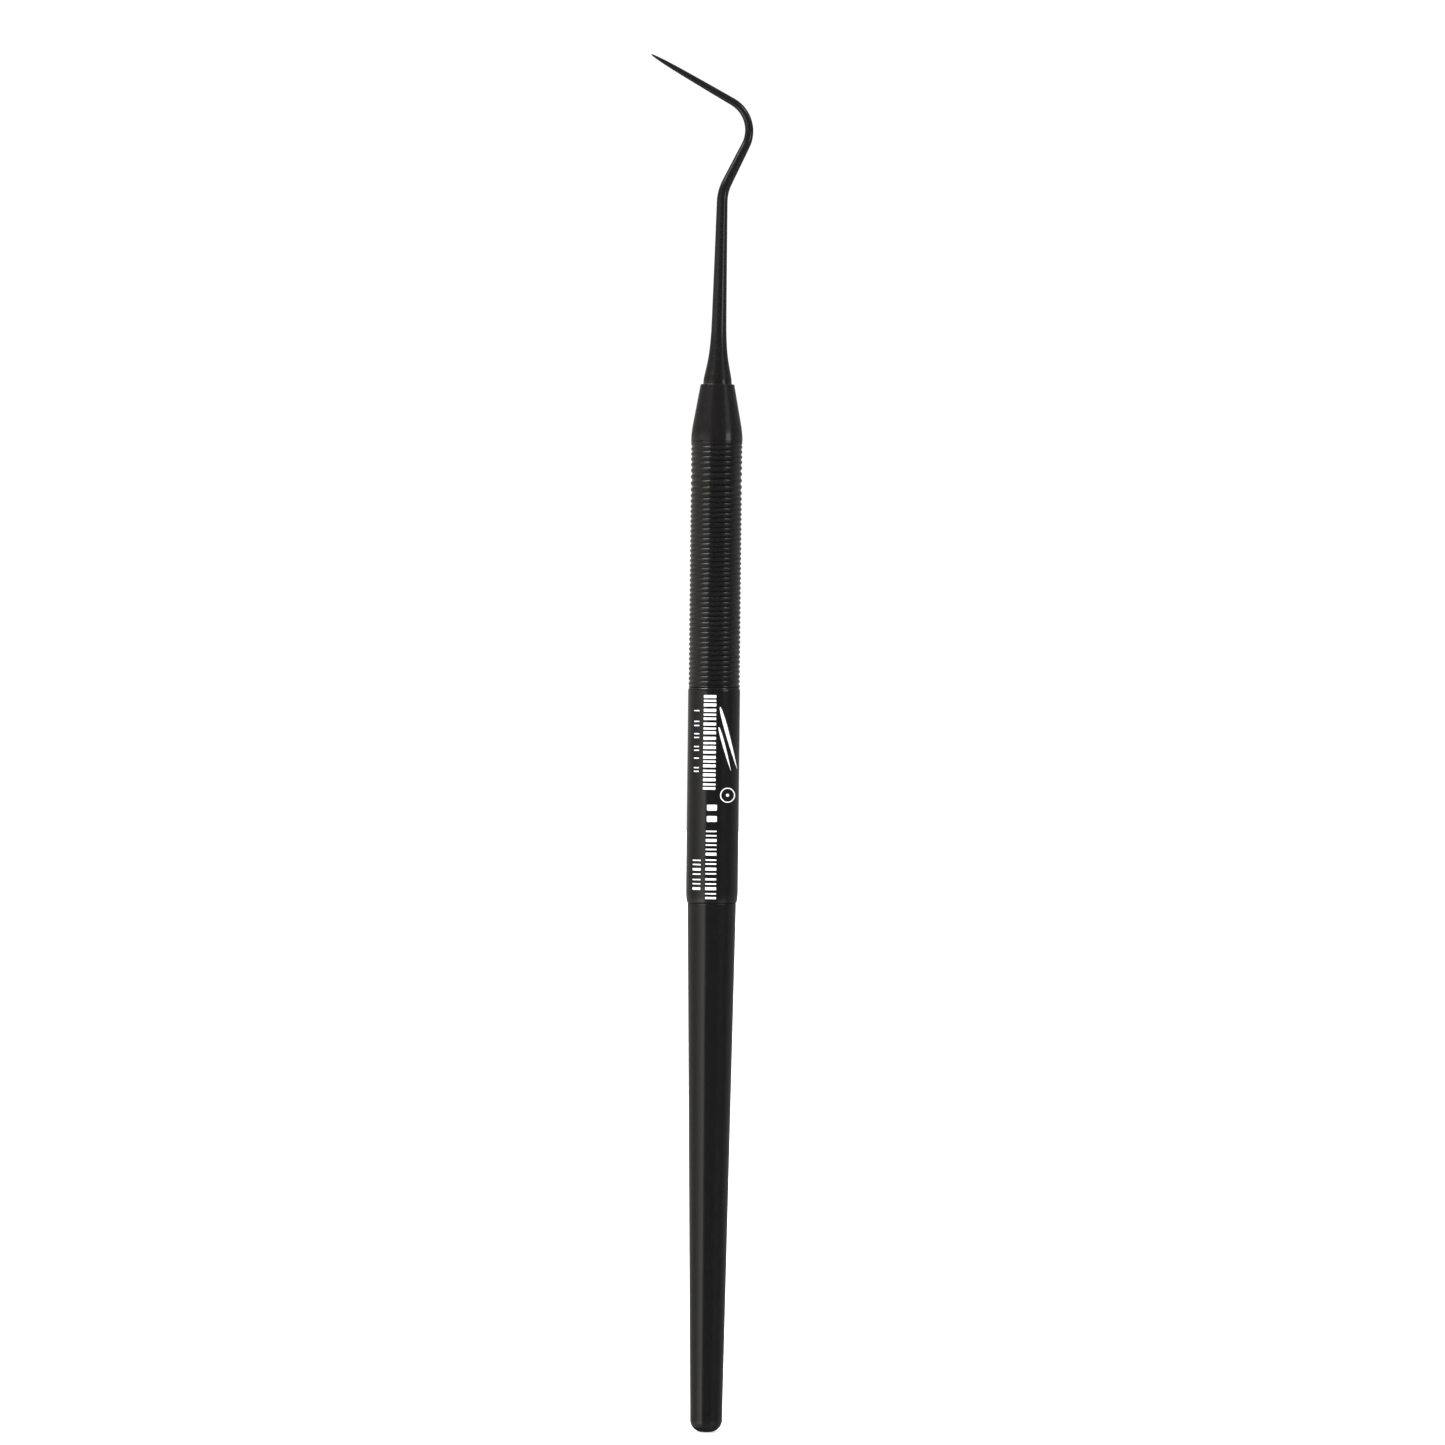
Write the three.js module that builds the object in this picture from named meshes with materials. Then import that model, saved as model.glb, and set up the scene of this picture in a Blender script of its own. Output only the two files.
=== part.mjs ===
// Dental explorer: a hollow black-coated handle with a threaded-look grip and one hooked working end.
// Lengths are millimetres. Z runs along the handle from the middle of the tail end (0) to the tip, the
// hook lies in the XZ plane and its point leans towards -X. Every piece is coaxial with Z unless said.

import * as THREE from 'three';

// ---- Where the pieces meet, along Z
const SEAM_END_PLUG = 2.2;
const SEAM_SLEEVE_REAR = 63.5;
const SEAM_NOSE_REAR = 118.8;
const NOSE_FRONT = 125.7;

// ---- Handle outside
const TAIL_END_RADIUS = 1.935;
const TAIL_FRONT_RADIUS = 2.915;
const END_FLAT_RADIUS = 0.4;
const END_ROUND = 1.5;
const BAND_RADIUS = 3.12;
const REAR_EDGE_LENGTH = 1.6;
const REAR_EDGE_RISE = 0.19;
const BAND_FRONT = 89.3;
const BAND_SHOULDER = 0.45;
const BAND_SHOULDER_ARC = 75;
const NOSE_LAND_RADIUS = 3.09;
const NOSE_FRONT_RADIUS = 2.035;
const NOSE_CORNER = 119.87;
const NOSE_SHOULDER_RADIUS = 11.5;
const NOSE_EDGE_ROUND = 0.12;
const NOSE_REAR_CHAMFER = 0.065;

// ---- Grip thread: a single-start right-hand groove whose pitch swells once, near the nose
const CREST_RADIUS = 3.085;
const GROOVE_DEPTH = 0.13;
const PITCH = 0.5894;
const PITCH_SWELL = 0.333;
const SWELL_CENTRE = 114.13;
const SWELL_WIDTH = 2.13;
const THREAD_REAR = 89.5;
const THREAD_FRONT = 118.5;
const SLEEVE_FRONT_CHAMFER = 0.065;

// ---- Bores, spigots and the clearance of each sliding or glued fit
const SLEEVE_BORE = 2.4;
const TUBE_WALL = 0.55;
const TUBE_FRONT_BORE = 2.25;
const TUBE_REAR_BORE = 1.35;
const JOINT_PLUG_REAR = 55.6;
const JOINT_PLUG_FRONT = 75.0;
const JOINT_PLUG_HOLE = 1.3;
const END_SPIGOT_FRONT = 8.0;
const NOSE_SPIGOT_REAR = 107.0;
const SEAT_RADIUS = 1.7;
const SEAT_REAR = 122.2;
const TANG_RADIUS = 1.2;
const TANG_REAR = 109.5;
const CHAMFER = 0.3;
const FIT = 0.02;
const BORE_FIT = 0.03;

// ---- Working end: corners of its centreline as [x, z, bend radius], and its thickness
const HOOK_CORNERS = [[0, NOSE_FRONT, 20], [0.343, 148.85, 5.5], [4.72, 157.79, 4.0]];
const HOOK_TIP = [-8.37, 165.2];
const DIAMETERS_FROM_TIP = [
  [0, 0.05], [0.1, 0.16], [0.4, 0.26], [1.1, 0.4], [1.9, 0.52], [3.1, 0.62], [5.5, 0.74], [8.5, 0.84],
  [11.7, 0.91], [14.6, 0.97], [18, 1.1], [24.5, 1.3], [30.5, 1.48], [36.5, 1.685], [40.1, 1.83],
  [41.3, 1.955], [42.5, 2.14], [43.7, 2.47], [44.9, 2.93], [45.6, 3.22], [46.1, 3.38],
];

// ---- Smoothness
const SIDES = 32;
const HOOK_SIDES = 24;
const ARC_STEPS = 6;
const NOSE_EDGE_STEPS = 3;
const LAND_GAP = 0.12;
const RING_GAP = 0.15;
const BEND_RING_SPACING = 0.5;

// ---- Finishes
function coatedSteel(color, roughness) {
  return new THREE.MeshStandardMaterial({ color, roughness, metalness: 0.35 });
}

const coatingBlack = coatedSteel(0x16161a, 0.35);
const coatingSleeve = coatedSteel(0x1a1a1e, 0.4);
const coatingTail = coatedSteel(0x131316, 0.32);
const coatingHook = coatedSteel(0x1c1c20, 0.3);
const bareSteel = new THREE.MeshStandardMaterial({ color: 0x8c8f94, roughness: 0.45, metalness: 1.0 });

// ---- Helpers

// A turned piece. The outline is [radius, z] pairs, rising on the outside and falling on the inside.
function turned(name, outline, material) {
  const points = outline.map(([radius, z]) => new THREE.Vector2(radius, z));
  const mesh = new THREE.Mesh(new THREE.LatheGeometry(points, SIDES), material);
  mesh.name = name;
  mesh.rotation.x = Math.PI / 2;
  return mesh;
}

// Quarter of an ellipse from the angle `from` to `to` (degrees, 0 = outwards, 90 = up) as [radius, z] pairs.
function ellipseArc(centreRadius, centreZ, radial, axial, from, to, steps = ARC_STEPS) {
  const points = [];
  for (let i = 0; i <= steps; i += 1) {
    const angle = THREE.MathUtils.degToRad(from + ((to - from) * i) / steps);
    points.push([centreRadius + radial * Math.cos(angle), centreZ + axial * Math.sin(angle)]);
  }
  return points;
}

// Collects rings of vertices and the faces between them, for the pieces that a lathe can't make.
class Skin {
  constructor() {
    this.positions = [];
    this.faces = [];
  }

  point(x, y, z) {
    this.positions.push(x, y, z);
    return this.positions.length / 3 - 1;
  }

  ring(radius, z) {
    const ids = [];
    for (let i = 0; i < SIDES; i += 1) {
      const angle = (2 * Math.PI * i) / SIDES;
      ids.push(this.point(radius * Math.cos(angle), radius * Math.sin(angle), z));
    }
    return ids;
  }

  // Triangles from a hub to each pair of neighbours on a rim.
  fan(hub, ...rim) {
    rim.slice(1).forEach((id, i) => this.faces.push(hub, rim[i], id));
  }

  // Joins two closed rings; the second is above the first on the outside of the piece.
  bridge(lower, upper) {
    lower.forEach((id, i) => {
      const next = (i + 1) % lower.length;
      this.fan(id, lower[next], upper[next], upper[i]);
    });
  }

  mesh(name, material) {
    const geometry = new THREE.BufferGeometry();
    geometry.setAttribute('position', new THREE.Float32BufferAttribute(this.positions, 3));
    geometry.setIndex(this.faces);
    const mesh = new THREE.Mesh(geometry, material);
    mesh.name = name;
    return mesh;
  }
}

// ---- End plug: the rounded rear end of the handle, pressed into the tail tube
function endPlug() {
  const rim = SEAM_END_PLUG - FIT;
  const spigot = TUBE_REAR_BORE - BORE_FIT;
  return turned('end_plug', [
    [0, 0],
    ...ellipseArc(END_FLAT_RADIUS, END_ROUND, TAIL_END_RADIUS - END_FLAT_RADIUS, END_ROUND, -90, 0),
    [TAIL_END_RADIUS, rim],
    [spigot, rim],
    [spigot, END_SPIGOT_FRONT - CHAMFER],
    [spigot - CHAMFER, END_SPIGOT_FRONT],
    [0, END_SPIGOT_FRONT],
  ], coatingTail);
}

// ---- Tail tube: the long tapered rear half of the handle
function tailTube() {
  const slope = (TAIL_FRONT_RADIUS - TAIL_END_RADIUS) / (SEAM_SLEEVE_REAR - SEAM_END_PLUG);
  const outside = (z) => TAIL_END_RADIUS + slope * (z - SEAM_END_PLUG);
  const front = SEAM_SLEEVE_REAR - FIT;
  const counterbore = JOINT_PLUG_REAR - CHAMFER;
  const taperRear = END_SPIGOT_FRONT + CHAMFER;
  return turned('tail_tube', [
    [TUBE_REAR_BORE, SEAM_END_PLUG],
    [outside(SEAM_END_PLUG), SEAM_END_PLUG],
    [outside(front), front],
    [TUBE_FRONT_BORE, front],
    [TUBE_FRONT_BORE, counterbore],
    [outside(counterbore) - TUBE_WALL - CHAMFER, counterbore],
    [outside(taperRear) - TUBE_WALL - CHAMFER / 2, taperRear],
    [TUBE_REAR_BORE, taperRear],
    [TUBE_REAR_BORE, SEAM_END_PLUG],
  ], coatingTail);
}

// ---- Joining plug: the stepped bush hidden in the joint between tail tube and grip sleeve
function joiningPlug() {
  const inTube = TUBE_FRONT_BORE - BORE_FIT;
  const inSleeve = SLEEVE_BORE - BORE_FIT;
  const step = SEAM_SLEEVE_REAR;
  return turned('joining_plug', [
    [JOINT_PLUG_HOLE, JOINT_PLUG_REAR],
    [inTube - CHAMFER, JOINT_PLUG_REAR],
    [inTube, JOINT_PLUG_REAR + CHAMFER],
    [inTube, step],
    [inSleeve, step],
    [inSleeve, JOINT_PLUG_FRONT - CHAMFER],
    [inSleeve - CHAMFER, JOINT_PLUG_FRONT],
    [JOINT_PLUG_HOLE, JOINT_PLUG_FRONT],
    [JOINT_PLUG_HOLE, JOINT_PLUG_REAR],
  ], bareSteel);
}

// ---- Grip sleeve: plain band with a rounded rear edge, then the threaded-look grip

// Pitch of the groove at height z.
function pitchAt(z) {
  const away = (z - SWELL_CENTRE) / SWELL_WIDTH;
  return PITCH * (1 + PITCH_SWELL * Math.exp(-away * away));
}

// Heights of the groove's crest line, one entry per side of every turn, from the rear to the front.
function threadHeights() {
  const heights = [];
  for (let z = THREAD_REAR; z < THREAD_FRONT; z += pitchAt(z) / SIDES) heights.push(z);
  return heights;
}

// Adds the grooved surface between two plain rings, which are level with the crests.
function addThread(skin, rear, front) {
  const heights = threadHeights();
  const grooveRadius = CREST_RADIUS - GROOVE_DEPTH;
  const count = heights.length - SIDES;
  const place = (radius, z, i) => {
    const angle = (2 * Math.PI * i) / SIDES;
    return skin.point(radius * Math.cos(angle), radius * Math.sin(angle), z);
  };
  const crest = heights.map((z, i) => place(CREST_RADIUS, z, i));
  const groove = heights.slice(0, count).map((z, i) => {
    return place(grooveRadius, (z + heights[i + SIDES]) / 2, i);
  });
  for (let i = 0; i + 1 < count; i += 1) {
    skin.fan(crest[i], crest[i + 1], groove[i + 1], groove[i]);
    skin.fan(groove[i], groove[i + 1], crest[i + SIDES + 1], crest[i + SIDES]);
  }
  // The plain lands behind the first turn and in front of the last one.
  const last = count - 1;
  for (let i = 1; i < SIDES; i += 1) {
    const at = last + i;
    skin.fan(rear[i - 1], rear[i], crest[i], crest[i - 1]);
    skin.fan(crest[at], crest[at + 1], front[(at + 1) % SIDES], front[at % SIDES]);
  }
  // Where the groove starts and stops, the land meets the next turn and a small wall closes the groove.
  skin.fan(rear[SIDES - 1], rear[0], crest[0], crest[SIDES], crest[SIDES - 1]);
  skin.fan(crest[0], groove[0], crest[SIDES]);
  const corner = front[last % SIDES];
  skin.fan(crest[last + 1], front[(last + 1) % SIDES], corner, crest[last + SIDES], crest[last]);
  skin.fan(crest[last], crest[last + SIDES], groove[last]);
}

function gripSleeve() {
  const skin = new Skin();
  const rearEdge = ellipseArc(
    BAND_RADIUS - REAR_EDGE_RISE, SEAM_SLEEVE_REAR + REAR_EDGE_LENGTH,
    REAR_EDGE_RISE, REAR_EDGE_LENGTH, -90, 0,
  );
  const shoulderDrop = BAND_RADIUS - CREST_RADIUS + GROOVE_DEPTH;
  const shoulder = ellipseArc(
    BAND_RADIUS - shoulderDrop, BAND_FRONT - BAND_SHOULDER,
    shoulderDrop, BAND_SHOULDER, 0, BAND_SHOULDER_ARC,
  );
  const front = SEAM_NOSE_REAR - FIT;
  const behind = [
    [SLEEVE_BORE, SEAM_SLEEVE_REAR],
    ...rearEdge,
    ...shoulder,
    [CREST_RADIUS, THREAD_REAR - LAND_GAP],
  ].map(([radius, z]) => skin.ring(radius, z));
  const ahead = [
    [CREST_RADIUS, THREAD_FRONT + LAND_GAP],
    [CREST_RADIUS, front - SLEEVE_FRONT_CHAMFER],
    [CREST_RADIUS - SLEEVE_FRONT_CHAMFER, front],
    [SLEEVE_BORE, front],
  ].map(([radius, z]) => skin.ring(radius, z));
  behind.slice(1).forEach((ring, i) => skin.bridge(behind[i], ring));
  addThread(skin, behind[behind.length - 1], ahead[0]);
  ahead.slice(1).forEach((ring, i) => skin.bridge(ahead[i], ring));
  skin.bridge(ahead[ahead.length - 1], behind[0]);
  return skin.mesh('grip_sleeve', coatingSleeve);
}

// ---- Nose cone: the ferrule that carries the working end, with a spigot that goes into the sleeve
function noseCone() {
  const land = NOSE_LAND_RADIUS;
  const slope = Math.atan2(land - NOSE_FRONT_RADIUS, NOSE_FRONT - NOSE_CORNER);
  const slopeDegrees = THREE.MathUtils.radToDeg(slope);
  const shoulderRear = NOSE_CORNER - NOSE_SHOULDER_RADIUS * Math.tan(slope / 2);
  const shoulder = ellipseArc(
    land - NOSE_SHOULDER_RADIUS, shoulderRear, NOSE_SHOULDER_RADIUS, NOSE_SHOULDER_RADIUS,
    0, slopeDegrees,
  );
  const edge = ellipseArc(
    NOSE_FRONT_RADIUS - NOSE_EDGE_ROUND, NOSE_FRONT - NOSE_EDGE_ROUND, NOSE_EDGE_ROUND, NOSE_EDGE_ROUND,
    slopeDegrees, 90, NOSE_EDGE_STEPS,
  );
  const spigot = SLEEVE_BORE - BORE_FIT;
  const seatBore = SEAT_RADIUS + BORE_FIT;
  const tangBore = TANG_RADIUS + BORE_FIT;
  const outline = [
    [tangBore, NOSE_SPIGOT_REAR],
    [spigot - CHAMFER, NOSE_SPIGOT_REAR],
    [spigot, NOSE_SPIGOT_REAR + CHAMFER],
    [spigot, SEAM_NOSE_REAR],
    [land - NOSE_REAR_CHAMFER, SEAM_NOSE_REAR],
    [land, SEAM_NOSE_REAR + NOSE_REAR_CHAMFER],
    ...shoulder,
    ...edge,
    [seatBore, NOSE_FRONT],
    [seatBore, SEAT_REAR - FIT],
    [tangBore, SEAT_REAR - FIT],
    [tangBore, NOSE_SPIGOT_REAR],
  ];
  return turned('nose_cone', outline, coatingBlack);
}

// ---- Working end: tang, trumpet-shaped root, leaning shank and hooked point, in one piece

// Centreline from the nose front to the tip: straight runs joined by arcs at the corners.
function hookCentreline() {
  const path = new THREE.CurvePath();
  const corners = HOOK_CORNERS.map(([x, z]) => new THREE.Vector2(x, z));
  const stops = [new THREE.Vector2(0, SEAT_REAR), ...corners, new THREE.Vector2(...HOOK_TIP)];
  let from = stops[0];
  corners.forEach((corner, i) => {
    const into = corner.clone().sub(stops[i]).normalize();
    const out = stops[i + 2].clone().sub(corner).normalize();
    const turn = Math.atan2(into.cross(out), into.dot(out));
    const radius = HOOK_CORNERS[i][2];
    const reach = radius * Math.tan(Math.abs(turn) / 2);
    const arcStart = corner.clone().addScaledVector(into, -reach);
    const side = new THREE.Vector2(-into.y, into.x).multiplyScalar(Math.sign(turn) * radius);
    const centre = arcStart.clone().add(side);
    const startAngle = Math.atan2(-side.y, -side.x);
    path.add(new THREE.LineCurve(from, arcStart));
    path.add(new THREE.EllipseCurve(
      centre.x, centre.y, radius, radius, startAngle, startAngle + turn, turn < 0,
    ));
    from = corner.clone().addScaledVector(out, reach);
  });
  path.add(new THREE.LineCurve(from, stops[stops.length - 1]));
  return path;
}

// Thickness of the working end at a distance back from the tip.
function diameterAt(distance) {
  const next = DIAMETERS_FROM_TIP.findIndex(([reach]) => reach >= distance);
  if (next < 0) return 2 * SEAT_RADIUS;
  if (next === 0) return DIAMETERS_FROM_TIP[0][1];
  const [near, thin] = DIAMETERS_FROM_TIP[next - 1];
  const [far, thick] = DIAMETERS_FROM_TIP[next];
  return THREE.MathUtils.mapLinear(distance, near, far, thin, thick);
}

// Distances from the tip at which the working end has a ring: every thickness station, and the bends.
function hookStations(path) {
  const lengths = path.getCurveLengths();
  const total = lengths[lengths.length - 1];
  const stations = DIAMETERS_FROM_TIP.map(([reach]) => reach);
  path.curves.forEach((curve, i) => {
    if (!(curve instanceof THREE.EllipseCurve)) return;
    const front = total - lengths[i];
    const length = curve.getLength();
    const steps = Math.ceil(length / BEND_RING_SPACING);
    for (let step = 0; step <= steps; step += 1) stations.push(front + (length * step) / steps);
  });
  const root = total - (NOSE_FRONT - SEAT_REAR) - RING_GAP;
  const outside = stations.filter((reach) => reach < root).sort((a, b) => b - a);
  return outside.filter((reach, i) => i === 0 || reach < RING_GAP || outside[i - 1] - reach > RING_GAP);
}

function workingEnd() {
  const skin = new Skin();
  const ringAt = (x, z, tangent, radius) => {
    const ids = [];
    for (let i = 0; i < HOOK_SIDES; i += 1) {
      const angle = (2 * Math.PI * i) / HOOK_SIDES;
      const across = radius * Math.cos(angle);
      ids.push(skin.point(x + across * tangent.y, radius * Math.sin(angle), z - across * tangent.x));
    }
    return ids;
  };
  const up = new THREE.Vector2(0, 1);
  const rings = [
    [TANG_RADIUS - CHAMFER, TANG_REAR],
    [TANG_RADIUS, TANG_REAR + CHAMFER],
    [TANG_RADIUS, SEAT_REAR],
    [SEAT_RADIUS, SEAT_REAR],
    [SEAT_RADIUS, NOSE_FRONT],
  ].map(([radius, z]) => ringAt(0, z, up, radius));
  const path = hookCentreline();
  const total = path.getLength();
  hookStations(path).forEach((reach) => {
    if (reach === 0) return;
    const along = 1 - reach / total;
    const centre = path.getPointAt(along);
    rings.push(ringAt(centre.x, centre.y, path.getTangentAt(along), diameterAt(reach) / 2));
  });
  rings.slice(1).forEach((ring, i) => skin.bridge(rings[i], ring));
  const tip = skin.point(HOOK_TIP[0], 0, HOOK_TIP[1]);
  const tangEnd = skin.point(0, 0, TANG_REAR);
  const firstRing = rings[0];
  const lastRing = rings[rings.length - 1];
  for (let i = 0; i < HOOK_SIDES; i += 1) {
    const next = (i + 1) % HOOK_SIDES;
    skin.fan(tangEnd, firstRing[next], firstRing[i]);
    skin.fan(tip, lastRing[i], lastRing[next]);
  }
  return skin.mesh('working_end', coatingHook);
}

// ---- Assembly, from the tail end to the tip
const explorer = new THREE.Group();
explorer.add(endPlug(), tailTube(), joiningPlug(), gripSleeve(), noseCone(), workingEnd());

export default explorer;
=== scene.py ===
"""Dental explorer, standing on its tail end in front of a white background.

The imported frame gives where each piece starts, ends and how wide it is. The fine shapes are worked out
from that in millimetres, with radii measured from the handle's axis, and are turned into metres last.
"""
import math

import bmesh
import bpy
import numpy as np
from mathutils import Matrix, Vector


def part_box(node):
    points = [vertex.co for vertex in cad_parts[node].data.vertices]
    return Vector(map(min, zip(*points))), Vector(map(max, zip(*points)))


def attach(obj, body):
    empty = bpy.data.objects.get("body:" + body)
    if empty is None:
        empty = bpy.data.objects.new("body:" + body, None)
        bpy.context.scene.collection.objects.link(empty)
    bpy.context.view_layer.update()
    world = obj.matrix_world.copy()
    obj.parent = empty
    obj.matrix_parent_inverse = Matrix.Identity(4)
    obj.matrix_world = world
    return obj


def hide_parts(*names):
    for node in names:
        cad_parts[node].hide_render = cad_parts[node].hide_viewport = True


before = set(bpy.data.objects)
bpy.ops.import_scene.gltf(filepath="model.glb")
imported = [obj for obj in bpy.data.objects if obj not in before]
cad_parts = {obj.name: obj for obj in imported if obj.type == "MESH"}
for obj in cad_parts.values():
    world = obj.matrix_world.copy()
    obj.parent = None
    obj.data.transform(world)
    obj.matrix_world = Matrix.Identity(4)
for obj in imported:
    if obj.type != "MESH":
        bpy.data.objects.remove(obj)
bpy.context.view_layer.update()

MM = 0.001


def node_box(node):
    """Lowest and highest corner of a CAD node, in millimetres."""
    low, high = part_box(node)
    return Vector(low) / MM, Vector(high) / MM


# ---- Where the pieces are, from the frame
PLUG_HIGH = node_box("end_plug")[1]
TUBE_LOW, TUBE_HIGH = node_box("tail_tube")
SLEEVE_LOW, SLEEVE_HIGH = node_box("grip_sleeve")
NOSE_LOW, NOSE_HIGH = node_box("nose_cone")
HOOK_LOW, HOOK_HIGH = node_box("working_end")
JOINT_LOW = node_box("joining_plug")[0]

PLUG_SEAM = TUBE_LOW.z
SLEEVE_REAR = SLEEVE_LOW.z
SLEEVE_FRONT = SLEEVE_HIGH.z
NOSE_FRONT = NOSE_HIGH.z
TAIL_END_RADIUS = PLUG_HIGH.x
TAIL_FRONT_RADIUS = TUBE_HIGH.x
BAND_RADIUS = SLEEVE_HIGH.x
NOSE_RADIUS = NOSE_HIGH.x

# ---- Fine shape of the handle
END_FLAT_RADIUS = 0.4
END_ROUND = 1.5
REAR_EDGE_LENGTH = 1.6
REAR_EDGE_RISE = 0.19
BAND_FRONT = 89.3
BAND_SHOULDER = 0.45
BAND_SHOULDER_ARC = math.radians(80)
NOSE_FRONT_RADIUS = 2.035
NOSE_CORNER = 119.87
NOSE_SHOULDER_RADIUS = 11.5
SLEEVE_BORE = 2.4
TUBE_WALL = 0.55
TUBE_FRONT_BORE = 2.25
TUBE_REAR_BORE = 1.35
CHAMFER = 0.3
FIT = 0.03

# ---- Roundness of the small edges
SEAM_ROUND = 0.02
EDGE_ROUND = 0.05
SPIGOT_ROOT_ROUND = 0.1
TUBE_FRONT_ROUND = 0.12
SLEEVE_SEAM_ROUND = 0.06
NOSE_FRONT_ROUND = 0.1
SEAT_MOUTH_ROUND = 0.03
# A closed outline starts and ends this far inside one of its flat ring faces.
FACE_START = 0.2

# ---- Grip thread: round crests, straight flanks and sharp grooves along a right-hand helix
CREST_RADIUS = 3.085
CREST_ROUND = 0.25
GROOVE_DEPTH = 0.13
FLANK_ANGLE = math.radians(29.5)
PITCH = 0.5894
PITCH_SWELL = 0.333
SWELL_CENTRE = 114.13
SWELL_WIDTH = 2.13
THREAD_REAR = 89.5
THREAD_FRONT = 118.5
LAND_GAP = 0.12
RUN_OUT = 0.3
CREST_PHASES = [0.0, 0.04, 0.08, 0.11, 0.14, 0.17, 0.209, 0.33, 0.47, 0.5]

# ---- Working end: corners of its centreline as (x, z, bend radius), and its thickness
SEAT_RADIUS = 1.7
SEAT_REAR = 122.2
TANG_RADIUS = 1.2
HOOK_CORNERS = [(0.0, NOSE_FRONT, 20.0), (0.343, 148.85, 5.5), (4.72, 157.79, 4.0)]
HOOK_TIP = (-8.37, HOOK_HIGH.z)
DIAMETERS_FROM_TIP = [
    (0.0, 0.05), (0.1, 0.16), (0.4, 0.26), (1.1, 0.4), (1.9, 0.52), (3.1, 0.62), (5.5, 0.74), (8.5, 0.84),
    (11.7, 0.91), (14.6, 0.97), (18.0, 1.1), (24.5, 1.3), (30.5, 1.48), (36.5, 1.685), (40.1, 1.83),
    (41.3, 1.955), (42.5, 2.14), (43.7, 2.47), (44.9, 2.93), (45.6, 3.22), (46.1, 3.38), (46.6, 3.42),
]

# ---- Fineness of the meshes
SIDES = 96
HOOK_SIDES = 48
EDGE_STEPS = 5
NOSE_STEPS = 8
END_STEPS = 20
REAR_EDGE_STEPS = 12
SHOULDER_STEPS = 8
EDGE_SUPPORT = 0.12
RUN_SPACING = 2.5
NOSE_RUN_SPACING = 0.8
STATION_STEP = 0.2
TIP_SHARES = (0.5, 0.25, 0.1)
WELD = 0.0002
SHARP_ANGLE = math.radians(35)

# ---- Camera: level with the middle of the picture, rolled a little so that the handle leans
LENS = 150.0
SENSOR = 36.0
VIEW_WIDTH = 173.4
LEAN = math.radians(0.63)
AIM = Vector((1.05, 0.0, 85.14))
CLIP_START = 10.0
CLIP_END = 50000.0


def make_camera():
    data = bpy.data.cameras.new("camera")
    data.lens = LENS
    data.sensor_width = SENSOR
    camera = bpy.data.objects.new("camera", data)
    bpy.context.scene.collection.objects.link(camera)
    distance = VIEW_WIDTH * LENS / SENSOR
    right = Vector((math.cos(LEAN), 0.0, math.sin(LEAN)))
    up = Vector((-math.sin(LEAN), 0.0, math.cos(LEAN)))
    back = right.cross(up)
    turn = Matrix((right, up, back)).transposed().to_4x4()
    camera.matrix_world = Matrix.Translation((AIM + back * distance) * MM) @ turn
    data.clip_start = CLIP_START * MM
    data.clip_end = CLIP_END * MM
    bpy.context.scene.camera = camera


# ---- Mesh helpers. A sheet is an array of points, rows by columns, in millimetres.

def make_piece(name, sheets, material, node=None):
    """Welds the sheets into one mesh, smooth except at real edges, riding on the one body."""
    bm = bmesh.new()
    for sheet in sheets:
        grid = [[bm.verts.new([float(v) * MM for v in point]) for point in row] for row in sheet]
        for row, above in zip(grid, grid[1:]):
            for a, b, c, d in zip(row, row[1:], above[1:], above):
                bm.faces.new((a, b, c, d))
    bmesh.ops.remove_doubles(bm, verts=bm.verts, dist=WELD * MM)
    bmesh.ops.recalc_face_normals(bm, faces=bm.faces)
    mesh = bpy.data.meshes.new(name)
    bm.to_mesh(mesh)
    bm.free()
    mesh.polygons.foreach_set("use_smooth", [True] * len(mesh.polygons))
    mesh.set_sharp_from_angle(angle=SHARP_ANGLE)
    mesh.materials.append(material)
    piece = bpy.data.objects.new(name, mesh)
    bpy.context.scene.collection.objects.link(piece)
    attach(piece, "root")
    if node:
        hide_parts(node)


def bend_arc(before, corner, after, radius, steps):
    """Places along the arc that rounds a corner, each with the heading there."""
    into = (corner - before).normalized()
    out = (after - corner).normalized()
    turn = math.atan2(into.cross(out), into.dot(out))
    start = corner - into * radius * math.tan(abs(turn) / 2)
    side = Vector((-into.y, into.x)) * math.copysign(radius, turn)
    arc = []
    for i in range(steps + 1):
        spin = Matrix.Rotation(turn * i / steps, 2)
        arc.append((start + side - spin @ side, spin @ into))
    return arc


def rounded(corners, steps=EDGE_STEPS):
    """Outline of (radius, z, corner round) with each corner replaced by an arc."""
    places = [Vector(c[:2]) for c in corners]
    outline = [places[0]]
    for before, corner, after, (_, _, radius) in zip(places, places[1:], places[2:], corners[1:]):
        if radius == 0:
            outline.append(corner)
        else:
            outline += [place for place, heading in bend_arc(before, corner, after, radius, steps)]
    outline.append(places[-1])
    return outline


def supported(outline, spacing=RUN_SPACING):
    """The same outline with extra points along its long runs and near their ends, for even shading."""
    points = [outline[0]]
    for a, b in zip(outline, outline[1:]):
        length = (b - a).length
        if length > 4 * EDGE_SUPPORT:
            inner = length - 2 * EDGE_SUPPORT
            count = max(1, round(inner / spacing))
            for i in range(count + 1):
                points.append(a.lerp(b, (EDGE_SUPPORT + inner * i / count) / length))
        points.append(b)
    return points


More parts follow.
